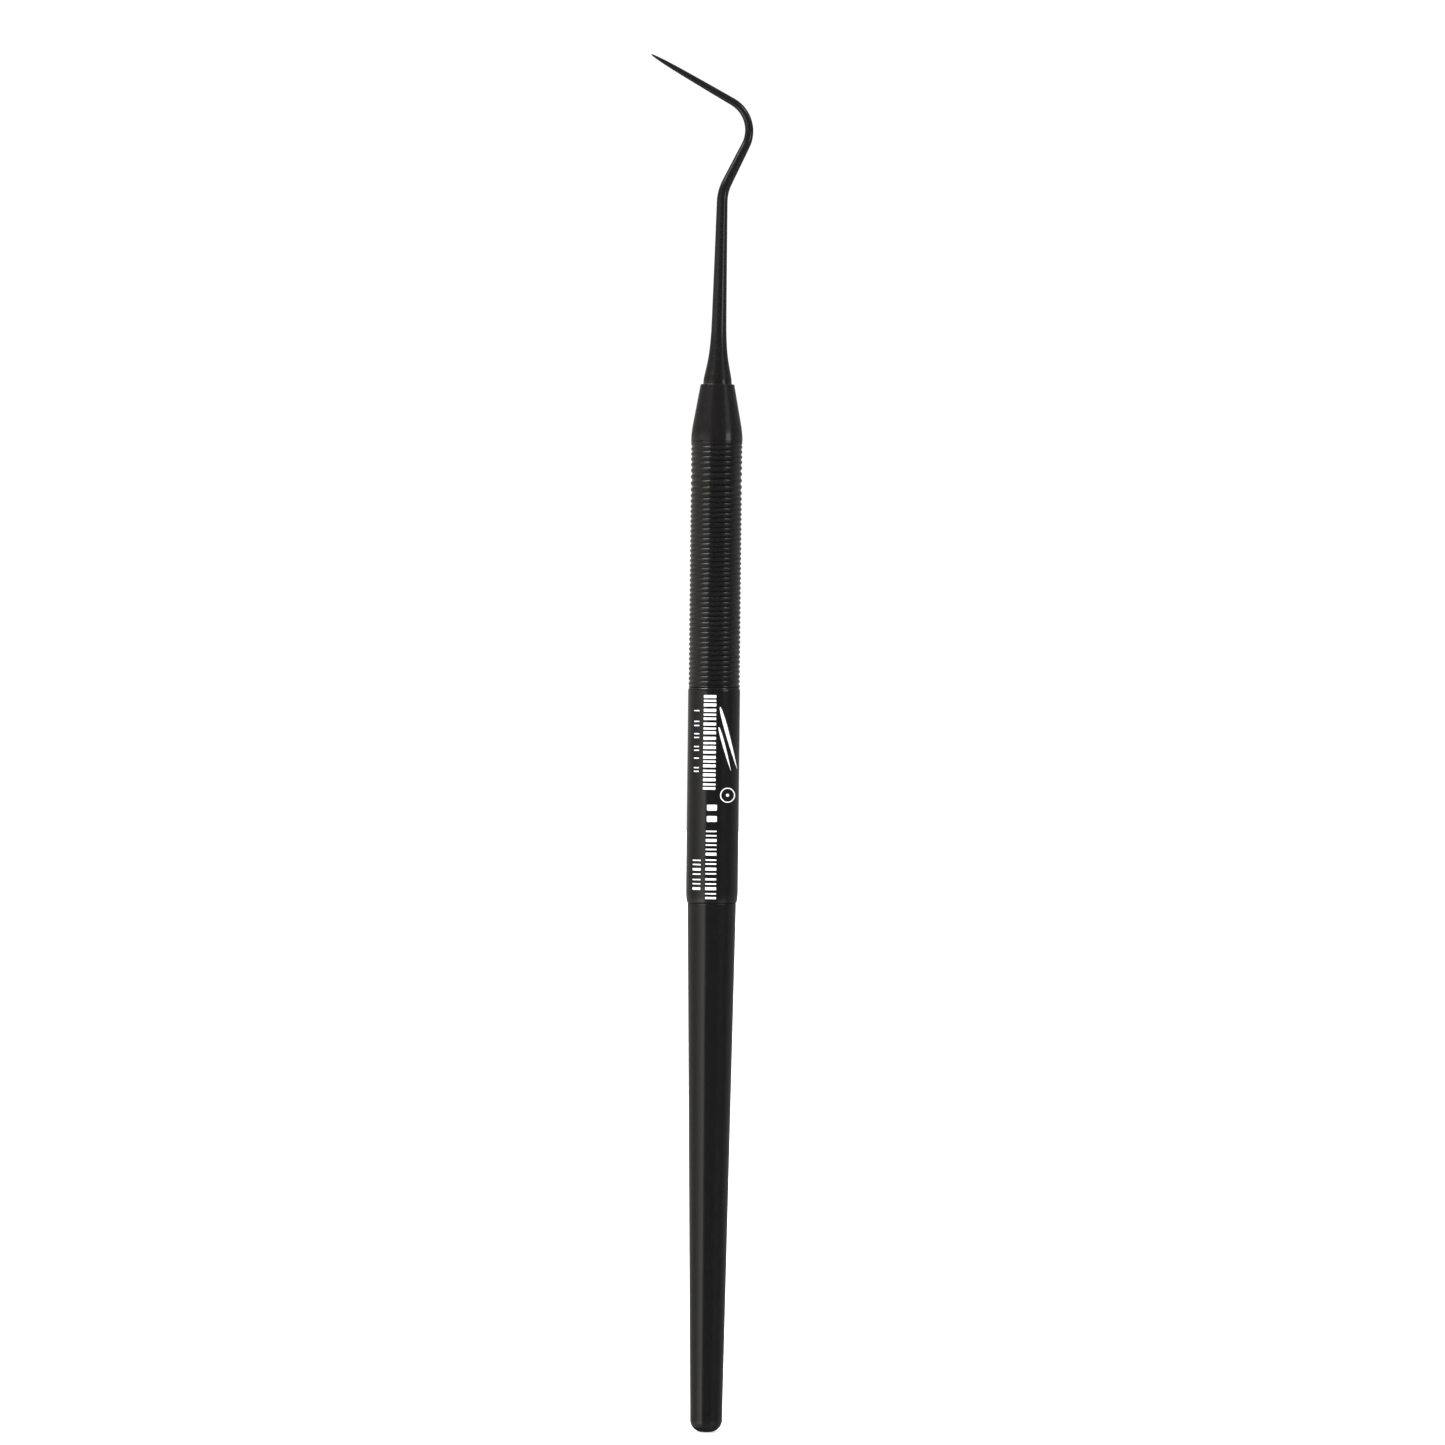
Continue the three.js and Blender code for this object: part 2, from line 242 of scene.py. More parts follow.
def turned(outline):
    """Sheet of a (radius, z) outline turned about the handle's axis."""
    angles = np.linspace(0, 2 * np.pi, SIDES + 1)
    radius, height = np.array([tuple(p) for p in outline]).T[:, :, None]
    return np.stack([radius * np.cos(angles), radius * np.sin(angles), height + 0 * angles], axis=-1)


def smooth_curve(stations, at):
    """Smooth curve through (place, value) stations that never overshoots them."""
    x, y = np.array(stations).T
    step = np.diff(x)
    slope = np.diff(y) / step
    tangent = np.concatenate([slope[:1], 2 / (1 / slope[:-1] + 1 / slope[1:]), slope[-1:]])
    i = np.clip(np.searchsorted(x, at) - 1, 0, len(x) - 2)
    t = (at - x[i]) / step[i]
    near = (1 + 2 * t) * (1 - t) ** 2 * y[i] + t * (1 - t) ** 2 * step[i] * tangent[i]
    far = t * t * (3 - 2 * t) * y[i + 1] + t * t * (t - 1) * step[i] * tangent[i + 1]
    return near + far


# ---- Node helper for the materials and the world

class Nodes:
    """Short names for adding and linking shader nodes."""

    def __init__(self, tree):
        self.tree = tree
        tree.nodes.clear()

    def add(self, kind, **settings):
        node = self.tree.nodes.new(kind)
        for key, value in settings.items():
            setattr(node, key, value)
        return node

    def put(self, value, socket):
        if isinstance(value, bpy.types.NodeSocket):
            self.tree.links.new(value, socket)
        else:
            socket.default_value = value

    def math(self, operation, a, b=0.0):
        node = self.add("ShaderNodeMath", operation=operation)
        self.put(a, node.inputs[0])
        self.put(b, node.inputs[1])
        return node.outputs[0]

    def length(self, a, b):
        return self.math("SQRT", self.math("ADD", self.math("MULTIPLY", a, a), self.math("MULTIPLY", b, b)))

    def ramp(self, value, low, high, out_low=0.0, out_high=1.0, kind="SMOOTHSTEP"):
        node = self.add("ShaderNodeMapRange", interpolation_type=kind)
        for number, socket in zip((value, low, high, out_low, out_high), node.inputs):
            self.put(number, socket)
        return node.outputs[0]

    def mix(self, share, a, b):
        """Colours a and b mixed; either may be a socket or a colour."""
        node = self.add("ShaderNodeMix", data_type="RGBA")
        a_socket, b_socket = [s for s in node.inputs if s.type == "RGBA"]
        self.put(share, node.inputs[0])
        self.put(a, a_socket)
        self.put(b, b_socket)
        return [s for s in node.outputs if s.type == "RGBA"][0]

    def noise(self, vector, scale, detail=3.0, roughness=0.5):
        node = self.add("ShaderNodeTexNoise")
        self.put(vector, node.inputs["Vector"])
        node.inputs["Scale"].default_value = scale
        node.inputs["Detail"].default_value = detail
        node.inputs["Roughness"].default_value = roughness
        return node.outputs[0]

    def millimetres(self, stretch=(1, 1, 1)):
        """Object coordinates in millimetres; a small number draws a pattern out along that axis."""
        place = self.add("ShaderNodeTexCoord")
        scale = self.add("ShaderNodeVectorMath", operation="MULTIPLY")
        self.put(place.outputs["Object"], scale.inputs[0])
        scale.inputs[1].default_value = [s / MM for s in stretch]
        return scale.outputs[0]


def new_surface(name):
    """A material with a Principled shader linked to its output, its nodes and the shader."""
    material = bpy.data.materials.new(name)
    material.use_nodes = True
    n = Nodes(material.node_tree)
    shader = n.add("ShaderNodeBsdfPrincipled")
    output = n.add("ShaderNodeOutputMaterial")
    n.put(shader.outputs[0], output.inputs[0])
    return material, n, shader


def grey(tone, factor=1.0):
    return [c * factor for c in tone] + [1]


# ---- Materials

COOL_BLACK = (0.0072, 0.0072, 0.0076)
WARM_BLACK = (0.0092, 0.0086, 0.0089)
# Tone of the mottling, the worn crests and the painted shade of the grip's grooves and flanks, as shares of
# the coating's own.
MOTTLE_DARK = 0.92
MOTTLE_LIGHT = 1.08
WORN = 1.8
PAINTED_GROOVE_SHADE = 0.65
# Depths below the crests between which the wear fades in.
WEAR_START = 0.03
WEAR_FULL = 0.004
# How far the fine lines take the roughness down and up.
SMOOTHER = 0.03
ROUGHER = 0.04

THIN_INK = (0.7, 0.7, 0.71)
FULL_INK = (0.9, 0.9, 0.9)
DARK_STEEL = (0.42, 0.43, 0.44)
LIGHT_STEEL = (0.58, 0.59, 0.6)


def coating(name, tone, roughness, line_stretch, line_height, on_thread=False):
    """Black hard coating on steel, with fine polishing or turning lines drawn out by `line_stretch`.

    On the thread the grip is darkened all over as painted shade, which stays in the grooves and flanks, and
    the crests are worn brighter in patches.
    """
    material, n, shader = new_surface(name)
    cloud = n.noise(n.millimetres(), scale=0.5, detail=4.0)
    grain = n.noise(n.millimetres(), scale=11.0, detail=2.0)
    lines = n.noise(n.millimetres(line_stretch), scale=1.0, detail=5.0, roughness=0.6)
    mottle = n.math("ADD", n.math("MULTIPLY", cloud, 0.5), n.math("MULTIPLY", grain, 0.5))
    colour = n.mix(n.ramp(mottle, 0.35, 0.65), grey(tone, MOTTLE_DARK), grey(tone, MOTTLE_LIGHT))
    if on_thread:
        place = n.add("ShaderNodeSeparateXYZ")
        n.put(n.millimetres(), place.inputs[0])
        from_axis = n.length(place.outputs[0], place.outputs[1])
        crest = n.ramp(from_axis, CREST_RADIUS - WEAR_START, CREST_RADIUS - WEAR_FULL)
        on_grip = n.ramp(place.outputs[2], BAND_FRONT, THREAD_REAR)
        patches = n.ramp(cloud, 0.35, 0.7, out_low=0.2)
        share = n.math("MULTIPLY", n.math("MULTIPLY", crest, on_grip), patches)
        # Painted shade: the whole grip is darkened, which shows in its grooves and flanks; the worn crests
        # lighten it again in patches.
        colour = n.mix(on_grip, colour, grey(tone, PAINTED_GROOVE_SHADE))
        colour = n.mix(share, colour, grey(tone, WORN))
    n.put(colour, shader.inputs["Base Color"])
    n.put(n.ramp(lines, 0.3, 0.7, roughness - SMOOTHER, roughness + ROUGHER), shader.inputs["Roughness"])
    bump = n.add("ShaderNodeBump")
    bump.inputs["Strength"].default_value = 1.0
    bump.inputs["Distance"].default_value = line_height * MM
    n.put(lines, bump.inputs["Height"])
    n.put(bump.outputs[0], shader.inputs["Normal"])
    return material


def white_ink():
    material, n, shader = new_surface("white_ink")
    speckle = n.noise(n.millimetres(), scale=7.0, detail=4.0, roughness=0.6)
    colour = n.mix(n.ramp(speckle, 0.28, 0.5), grey(THIN_INK), grey(FULL_INK))
    n.put(colour, shader.inputs["Base Color"])
    n.put(n.ramp(speckle, 0.3, 0.7, 0.45, 0.6), shader.inputs["Roughness"])
    return material


def bare_steel():
    material, n, shader = new_surface("turned_steel")
    turning = n.noise(n.millimetres((0.2, 0.2, 14)), scale=1.0, detail=4.0)
    n.put(n.mix(turning, grey(DARK_STEEL), grey(LIGHT_STEEL)), shader.inputs["Base Color"])
    n.put(n.ramp(turning, 0.3, 0.7, 0.25, 0.42), shader.inputs["Roughness"])
    shader.inputs["Metallic"].default_value = 1.0
    return material


# ---- End plug and tail tube

def end_plug(material):
    rim = PLUG_SEAM - FIT
    spigot = TUBE_REAR_BORE - FIT
    front = PLUG_HIGH.z
    outline = rounded([
        (0, 0, 0), (END_FLAT_RADIUS, 0, 0), (TAIL_END_RADIUS, 0, END_ROUND),
        (TAIL_END_RADIUS, rim, SEAM_ROUND), (spigot, rim, SPIGOT_ROOT_ROUND),
        (spigot, front - CHAMFER, EDGE_ROUND), (spigot - CHAMFER, front, EDGE_ROUND), (0, front, 0),
    ], END_STEPS)
    make_piece("end_plug_fine", [turned(supported(outline))], material, "end_plug")


def tail_tube(material):
    front = TUBE_HIGH.z
    slope = (TAIL_FRONT_RADIUS - TAIL_END_RADIUS) / (front - PLUG_SEAM)

    def outside(z):
        return TAIL_END_RADIUS + slope * (z - PLUG_SEAM)

    counterbore = JOINT_LOW.z - CHAMFER
    taper_rear = PLUG_HIGH.z + CHAMFER
    outline = rounded([
        (TUBE_REAR_BORE + FACE_START, PLUG_SEAM, 0),
        (TAIL_END_RADIUS, PLUG_SEAM, SEAM_ROUND),
        (TAIL_FRONT_RADIUS, front, TUBE_FRONT_ROUND),
        (TUBE_FRONT_BORE, front, EDGE_ROUND),
        (TUBE_FRONT_BORE, counterbore, 0),
        (outside(counterbore) - TUBE_WALL - CHAMFER, counterbore, 0),
        (outside(taper_rear) - TUBE_WALL - CHAMFER / 2, taper_rear, 0),
        (TUBE_REAR_BORE, taper_rear, 0),
        (TUBE_REAR_BORE, PLUG_SEAM, EDGE_ROUND),
        (TUBE_REAR_BORE + FACE_START, PLUG_SEAM, 0),
    ])
    make_piece("tail_tube_fine", [turned(supported(outline))], material, "tail_tube")


# ---- Grip sleeve: plain band, then the thread

def pitch_at(z):
    away = (z - SWELL_CENTRE) / SWELL_WIDTH
    return PITCH * (1 + PITCH_SWELL * np.exp(-away * away))


def thread_heights():
    """Heights of the helix, one for each side of every turn, from a turn behind the grip to its front."""
    heights = [THREAD_REAR - PITCH]
    while heights[-1] < THREAD_FRONT + LAND_GAP:
        heights.append(heights[-1] + pitch_at(heights[-1]) / SIDES)
    return np.array(heights)


def depth_at(away):
    """Depth below the crest at an axial distance from it: round at the crest, then a straight flank."""
    flank_start = CREST_ROUND * math.sin(FLANK_ANGLE)
    on_crest = np.minimum(away, flank_start)
    crest_drop = CREST_ROUND - np.sqrt(CREST_ROUND ** 2 - on_crest ** 2)
    return crest_drop + (away - on_crest) * math.tan(FLANK_ANGLE)


def thread_sheet(rear, front):
    """The grooved surface between two plain rings at the crest radius."""
    heights = thread_heights()
    turns = np.arange(len(heights)) / SIDES
    around = np.linspace(0, 1, SIDES + 1)
    angle = 2 * np.pi * around
    phases = CREST_PHASES[:-1] + [1 - p for p in CREST_PHASES[:0:-1]]
    rows = []
    for turn in range(-1, int(turns[-1]) + 1):
        for phase in phases:
            helix = np.interp(turn + phase + around, turns, heights)
            z = np.clip(helix, rear, front)
            fade = np.clip(np.minimum(z - rear, front - z) / (RUN_OUT * PITCH), 0, 1)
            radius = CREST_RADIUS - fade * depth_at(min(phase, 1 - phase) * pitch_at(helix))
            rows.append(np.stack([radius * np.cos(angle), radius * np.sin(angle), z], axis=-1))
    return np.array(rows)


def grip_sleeve(material):
    shoulder_drop = BAND_RADIUS - CREST_RADIUS + GROOVE_DEPTH

    def band_edge(a, drop, place):
        return BAND_RADIUS - drop * (1 - math.cos(a)), place

    rear_edge = [
        band_edge(a, REAR_EDGE_RISE, SLEEVE_REAR + REAR_EDGE_LENGTH * (1 - math.sin(a)))
        for a in np.linspace(math.pi / 2, 0, REAR_EDGE_STEPS + 1)
    ]
    shoulder = [
        band_edge(a, shoulder_drop, BAND_FRONT - BAND_SHOULDER * (1 - math.sin(a)))
        for a in np.linspace(0, BAND_SHOULDER_ARC, SHOULDER_STEPS + 1)
    ]
    thread_rear = THREAD_REAR - LAND_GAP
    thread_front = THREAD_FRONT + LAND_GAP
    rear = [(SLEEVE_BORE, SLEEVE_REAR)] + rear_edge + shoulder + [(CREST_RADIUS, thread_rear)]
    ahead = rounded([
        (CREST_RADIUS, thread_front, 0), (CREST_RADIUS, SLEEVE_FRONT, SLEEVE_SEAM_ROUND),
        (SLEEVE_BORE, SLEEVE_FRONT, EDGE_ROUND), (SLEEVE_BORE, SLEEVE_REAR, 0),
    ])
    sheets = [
        turned(supported([Vector(p) for p in rear])),
        thread_sheet(thread_rear, thread_front),
        turned(supported(ahead)),
    ]
    make_piece("grip_sleeve_fine", sheets, material, "grip_sleeve")


# ---- Nose cone

def nose_cone(material):
    spigot = SLEEVE_BORE - FIT
    rear = NOSE_LOW.z
    face = SLEEVE_FRONT + FIT
    seat_bore = SEAT_RADIUS + FIT
    tang_bore = TANG_RADIUS + FIT
    outline = rounded([
        (tang_bore + FACE_START, rear, 0),
        (spigot - CHAMFER, rear, EDGE_ROUND),
        (spigot, rear + CHAMFER, EDGE_ROUND),
        (spigot, face, 0),
        (NOSE_RADIUS, face, SLEEVE_SEAM_ROUND),
        (NOSE_RADIUS, NOSE_CORNER, NOSE_SHOULDER_RADIUS),
        (NOSE_FRONT_RADIUS, NOSE_FRONT, NOSE_FRONT_ROUND),
        (seat_bore, NOSE_FRONT, SEAT_MOUTH_ROUND),
        (seat_bore, SEAT_REAR, 0),
        (tang_bore, SEAT_REAR, 0),
        (tang_bore, rear, EDGE_ROUND),
        (tang_bore + FACE_START, rear, 0),
    ], NOSE_STEPS)
    sheet = turned(supported(outline, NOSE_RUN_SPACING))
    make_piece("nose_cone_fine", [sheet], material, "nose_cone")


# ---- Working end: rings along a centreline of straight runs and arcs

def hook_centreline():
    """Places along the centreline and the heading at each, from the seat to the tip."""
    stops = [Vector((0, SEAT_REAR))] + [Vector(c[:2]) for c in HOOK_CORNERS] + [Vector(HOOK_TIP)]
    stations = []

    def run(a, b):
        count = max(1, round((b - a).length / STATION_STEP))
        stations.extend((a.lerp(b, i / count), (b - a).normalized()) for i in range(count))

    start = stops[0]
    for before, corner, after, (_, _, radius) in zip(stops, stops[1:], stops[2:], HOOK_CORNERS):
        # The rings lie twice as close together on the bends.
        turn = (corner - before).angle(after - corner)
        steps = max(2, round(2 * turn * radius / STATION_STEP))
        arc = bend_arc(before, corner, after, radius, steps)
        run(start, arc[0][0])
        stations.extend(arc[:-1])
        start = arc[-1][0]
    tip = stops[-1]
    run(start, tip)
    heading = stations[-1][1]
    for share in TIP_SHARES:
        stations.append((tip - heading * STATION_STEP * share, heading))
    return stations, tip


def working_end(material):
    stations, tip = hook_centreline()
    places = [place for place, heading in stations] + [tip]
    gaps = [(b - a).length for a, b in zip(places, places[1:])]
    from_tip = np.minimum(np.cumsum(gaps[::-1])[::-1], DIAMETERS_FROM_TIP[-1][0])
    radii = smooth_curve(DIAMETERS_FROM_TIP, from_tip) / 2
    up = Vector((0, 1))
    rear = HOOK_LOW.z
    rings = [
        (Vector((0, z)), up, radius) for radius, z in [
            (0, rear), (TANG_RADIUS - CHAMFER, rear), (TANG_RADIUS, rear + CHAMFER),
            (TANG_RADIUS, SEAT_REAR + FIT), (SEAT_RADIUS, SEAT_REAR + FIT), (SEAT_RADIUS, NOSE_FRONT),
        ]
    ]
    for (place, heading), radius in zip(stations, radii):
        if place.y > NOSE_FRONT + STATION_STEP / 2:
            rings.append((place, heading, radius))
    rings.append((tip, stations[-1][1], 0))
    angles = np.linspace(0, 2 * np.pi, HOOK_SIDES + 1)
    sheet = [
        np.stack([
            place.x + radius * np.cos(angles) * heading.y,
            radius * np.sin(angles),
            place.y - radius * np.cos(angles) * heading.x,
        ], axis=-1)
        for place, heading, radius in rings
    ]
    make_piece("working_end_fine", [sheet], material, "working_end")


# ---- White print on the band: plain bars, blocks and a ring, each a thin skin on the round surface.
# Across is the place as seen from the front, negative to the left; along is the height.

INK_TOP = 0.006
INK_FOOT = -0.02
INK_STEP = math.radians(3)
INK_POINT = 0.01
CORNER_STEPS = 4
SLANT_STEPS = 39
RING_STEPS = 48

# Rows of bars: across, width, top, roundness of the corners, and each bar's length and the gap after it.
BOLD_ROW = (-0.46, 1.5, 88.4, 0.06, [
    (0.36, 0.2), (0.24, 0.2), (0.36, 0.28), (0.36, 0.22), (0.24, 0.22), (0.3, 0.3), (0.36, 0.24),
    (0.24, 0.2), (0.36, 0.3), (0.36, 0.28), (0.24, 0.22), (0.36, 0.24), (0.3, 0.28), (0.36, 0.2),
    (0.24, 0.22), (0.36, 0.28), (0.24, 0.2), (0.36, 0.22), (0.36, 0.26), (0.24, 0.2), (0.3, 0.2),
])
SPACED_ROW = (-2.02, 0.6, 86.6, 0.05, [
    (0.14, 1.15), (0.14, 0.35), (0.14, 0.85), (0.14, 0.3), (0.14, 0.95), (0.14, 0.3), (0.14, 0.8),
    (0.14, 1.0), (0.14, 0.3), (0.14, 0.3),
])
THIN_ROW = (-0.15, 1.3, 72.2, 0.05, [
    (0.17, 0.35), (0.17, 0.3), (0.35, 0.3), (0.17, 0.35), (0.17, 0.3), (0.35, 0.45), (0.17, 0.3),
    (0.17, 0.35), (0.35, 0.3), (0.17, 0.45), (0.25, 0.35), (0.17, 0.3), (0.35, 0.35), (0.17, 0.3),
    (0.25, 0.3),
])
SHORT_ROW = (-1.85, 0.95, 68.7, 0.05, [
    (0.15, 0.35), (0.15, 0.35), (0.3, 0.35), (0.15, 0.5), (0.15, 0.35), (0.15, 0.35), (0.3, 0.3),
])
# Slanted bars: start and end as (across, along), and width.
SLANTS = [((0.75, 87.0), (2.85, 79.6), 0.55), ((0.62, 84.6), (2.1, 79.4), 0.4)]
RING_PLACE = (1.75, 76.45)
RING_RADIUS = 0.9
RING_LINE = 0.13
DOT_SIZE = 0.36
DOT_CORNER = 0.15
SQUARES_ALONG = (74.95, 73.6)
SQUARES_ACROSS = -0.1
SQUARE_WIDTH = 1.2
SQUARE_LENGTH = 0.7
SQUARE_CORNER = 0.12


def band_radius(z):
    """Radius of the band at a height, with the rear edge's quarter ellipse."""
    past = np.clip((SLEEVE_REAR + REAR_EDGE_LENGTH - z) / REAR_EDGE_LENGTH, 0, 1)
    return BAND_RADIUS - REAR_EDGE_RISE * (1 - np.sqrt(1 - past ** 2))


def ink_solid(left, right, closed=False):
    """Closed thin solid on the band between two lines of (across, along) points."""
    left_angles, right_angles = [
        [math.asin(across / BAND_RADIUS) for across, _ in line] for line in (left, right)
    ]
    widest = max(abs(b - a) for a, b in zip(left_angles, right_angles))
    shares = np.linspace(0, 1, 2 + int(widest / INK_STEP))[None, :]
    angles = np.array(left_angles)[:, None] * (1 - shares) + np.array(right_angles)[:, None] * shares
    along = np.array(left)[:, 1:] * (1 - shares) + np.array(right)[:, 1:] * shares
    top, foot = [
        np.stack([radius * np.sin(angles), -radius * np.cos(angles), along], axis=-1)
        for radius in (band_radius(along) + INK_TOP, band_radius(along) + INK_FOOT)
    ]
    if closed:
        top, foot = [np.concatenate([sheet, sheet[:1]]) for sheet in (top, foot)]
    walls = [(top[:, 0], foot[:, 0]), (top[:, -1], foot[:, -1])]
    if not closed:
        walls += [(top[0], foot[0]), (top[-1], foot[-1])]
    return [top, foot] + walls


def ink_block(across, along, width, length, corner):
    """A block with rounded corners, `width` across and `length` along, about its middle."""
    straight = length / 2 - corner
    bends = np.linspace(0, math.pi / 2, CORNER_STEPS + 1)
    ends = [(straight + corner * math.sin(a), corner * (1 - math.cos(a))) for a in bends]
    levels = [(-up, inset) for up, inset in ends[::-1]] + ends
    left = [(across - width / 2 + inset, along + up) for up, inset in levels]
    right = [(across + width / 2 - inset, along + up) for up, inset in levels]
    return ink_solid(left, right)


def ink_slant(start, end, width):
    """A slim straight bar between two points, rounded at its start and drawn out to a point at its end."""
    left, right = [], []
    for t in np.linspace(0, 1, SLANT_STEPS + 1) ** 2:
        middle = Vector(start).lerp(Vector(end), t)
        half = INK_POINT + width * math.sqrt(t) * (1 - t)
        left.append((middle.x - half, middle.y))
        right.append((middle.x + half, middle.y))
    return ink_solid(left, right)


def ink_ring(across, along, radius, line):
    turns = np.linspace(0, 2 * np.pi, RING_STEPS, endpoint=False)
    inner, outer = [
        [(across + r * math.cos(a), along + r * math.sin(a)) for a in turns]
        for r in (radius - line, radius)
    ]
    return ink_solid(inner, outer, closed=True)


def bar_row(across, width, top, corner, bars):
    """Bars from `top` downwards."""
    sheets = []
    for length, gap in bars:
        sheets += ink_block(across, top - length / 2, width, length, corner)
        top -= length + gap
    return sheets


def print_marks(material):
    sheets = []
    for row in (BOLD_ROW, SPACED_ROW, THIN_ROW, SHORT_ROW):
        sheets += bar_row(*row)
    for slant in SLANTS:
        sheets += ink_slant(*slant)
    sheets += ink_ring(*RING_PLACE, RING_RADIUS, RING_LINE)
    sheets += ink_block(*RING_PLACE, DOT_SIZE, DOT_SIZE, DOT_CORNER)
    for along in SQUARES_ALONG:
        sheets += ink_block(SQUARES_ACROSS, along, SQUARE_WIDTH, SQUARE_LENGTH, SQUARE_CORNER)
    make_piece("print_marks", sheets, material)


# ---- Floor, background and light

FLOOR_REACH = 4.0
FLOOR_GLOW = 0.65
FLOOR_DARK = (0.9, 0.9, 0.9)
FLOOR_LIGHT = (0.92, 0.92, 0.92)
SUN_STRENGTH = 2.0
SUN_SPREAD = math.radians(60)
SUN_LEAN = (math.radians(20), math.radians(-15), 0)
DIFFUSE_SKY = 0.6
WHITE_SKY = 1.05

# Brightness of the studio by where it shows on an upright cylinder seen from the front: degrees round
# from the front, positive to the right. Each table is for one tilt of the surface, upwards positive.
LIGHTS = [
    # Tilt range over which the table takes over from the one before it, then the table.
    (None, [(-90, 0.06), (90, 0.06)]),
    ((-42, -32), [(-90, 0.45), (-17, 0.5), (-15, 0.2), (-8, 0.2), (12, 0.2), (17, 0.2), (20, 0.3),
                  (26, 0.3), (30, 0.2), (40, 0.15), (53, 0.3), (90, 0.35)]),
    ((-20, -14), [(-90, 0.45), (-53, 0.4), (-40, 0.6), (-30, 1.3), (-23, 1.9), (-17, 1.9), (-15.5, 0.3),
                  (-8, 0.1), (12, 0.08), (19, 0.4), (28, 0.55), (33, 0.3), (40, 0.15), (53, 0.28),
                  (90, 0.3)]),
    ((-10, -5), [(-90, 0.45), (-67, 0.4), (-61, 0.34), (-53, 0.3), (-46, 0.26), (-40, 0.32), (-34, 0.5),
                 (-28.7, 0.73), (-23, 1.12), (-17.5, 1.25), (-16.3, 1.2), (-15.2, 0.1), (-8, 0.03),
                 (10, 0.02), (17, 0.03), (19, 0.07), (24, 0.1), (30, 0.09), (40, 0.05), (46, 0.15),
                 (53, 0.21), (61, 0.25), (90, 0.28)]),
    ((0.4, 1.6), [(-90, 0.45), (-46, 0.45), (-38, 0.57), (-30, 0.66), (-25, 0.62), (-20, 0.44), (-14, 0.22),
                  (-8, 0.05), (10, 0.02), (17, 0.03), (19, 0.07), (24, 0.1), (30, 0.09), (40, 0.05),
                  (46, 0.18), (53, 0.25), (90, 0.28)]),
    ((3, 8), [(-90, 0.35), (-61, 0.22), (-46, 0.17), (-34, 0.2), (-17, 0.2), (-15, 0.12), (-12, 0.08),
              (-4, 0.03), (12, 0.04), (19, 0.1), (22, 0.25), (24.5, 0.5), (30.5, 0.55), (33, 0.3),
              (37, 0.12), (46, 0.12), (53, 0.2), (90, 0.27)]),
    ((17, 19), [(-90, 0.9), (-53, 0.5), (-37, 0.8), (-33, 3.0), (-30, 8.0), (-27, 14.0), (-17, 17.0),
                (-15.5, 8.0), (-14.5, 0.8), (-8, 0.3), (12, 0.7), (19, 1.0), (21, 7.0), (25.5, 7.0),
                (28, 2.0), (31, 0.6), (53, 0.6), (90, 0.6)]),
    ((22, 26), [(-90, 0.45), (-44, 0.45), (-30, 0.3), (-17, 0.25), (-15, 0.05), (-8, 0.01), (12, 0.01),
                (25, 0.03), (37, 0.15), (44, 0.3), (90, 0.4)]),
    ((34, 44), [(-90, 1.0), (-15, 1.3), (0, 0.6), (15, 0.7), (90, 0.6)]),
]
# The light from the left is a little warm, up to this stretch of degrees.
WARM_SIDE = (1.03, 1.0, 0.94, 1)
WARM_EDGE = (-17, -12)
NEUTRAL = (1, 1, 1, 1)


def brightness_ramp(n, degrees, stops):
    node = n.add("ShaderNodeValToRGB")
    n.put(n.ramp(degrees, -90, 90, kind="LINEAR"), node.inputs[0])
    top = max(level for _, level in stops)
    elements = node.color_ramp.elements
    while len(elements) < len(stops):
        elements.new(0.5)
    for element, (angle, level) in zip(elements, stops):
        element.position = (angle + 90) / 180
        element.color = [level / top] * 3 + [1]
    return n.math("MULTIPLY", node.outputs[0], top)


def make_studio():
    world = bpy.data.worlds.new("studio")
    world.use_nodes = True
    bpy.context.scene.world = world
    n = Nodes(world.node_tree)
    place = n.add("ShaderNodeTexCoord")
    split = n.add("ShaderNodeSeparateXYZ")
    n.put(place.outputs["Generated"], split.inputs[0])
    x, y, z = split.outputs
    back = n.math("SUBTRACT", 1.0, y)
    around = n.math("DEGREES", n.math("ARCTAN2", x, back))
    tilt = n.math("DEGREES", n.math("ARCTAN2", z, n.length(x, back)))
    level = 0.0
    for span, stops in LIGHTS:
        table = brightness_ramp(n, around, stops)
        if span is None:
            level = table
            continue
        share = n.ramp(tilt, *span)
        level = n.math("ADD", level, n.math("MULTIPLY", share, n.math("SUBTRACT", table, level)))
    studio = n.add("ShaderNodeBackground")
    n.put(n.mix(n.ramp(around, *WARM_EDGE), WARM_SIDE, NEUTRAL), studio.inputs["Color"])
    n.put(level, studio.inputs["Strength"])
    soft = n.add("ShaderNodeBackground")
    soft.inputs["Strength"].default_value = DIFFUSE_SKY
    white = n.add("ShaderNodeBackground")
    white.inputs["Strength"].default_value = WHITE_SKY
    for colour in (soft, white):
        colour.inputs["Color"].default_value = NEUTRAL
    path = n.add("ShaderNodeLightPath")
    unseen = n.add("ShaderNodeMixShader")
    n.put(path.outputs["Is Diffuse Ray"], unseen.inputs[0])
    n.put(studio.outputs[0], unseen.inputs[1])
    n.put(soft.outputs[0], unseen.inputs[2])
    seen = n.add("ShaderNodeMixShader")
    n.put(path.outputs["Is Camera Ray"], seen.inputs[0])
    n.put(unseen.outputs[0], seen.inputs[1])
    n.put(white.outputs[0], seen.inputs[2])
    output = n.add("ShaderNodeOutputWorld")
    n.put(seen.outputs[0], output.inputs[0])


def add_light(name, kind, energy, **settings):
    data = bpy.data.lights.new(name, kind)
    data.energy = energy
    for key, value in settings.items():
        setattr(data, key, value)
    light = bpy.data.objects.new(name, data)
    bpy.context.scene.collection.objects.link(light)
    return light


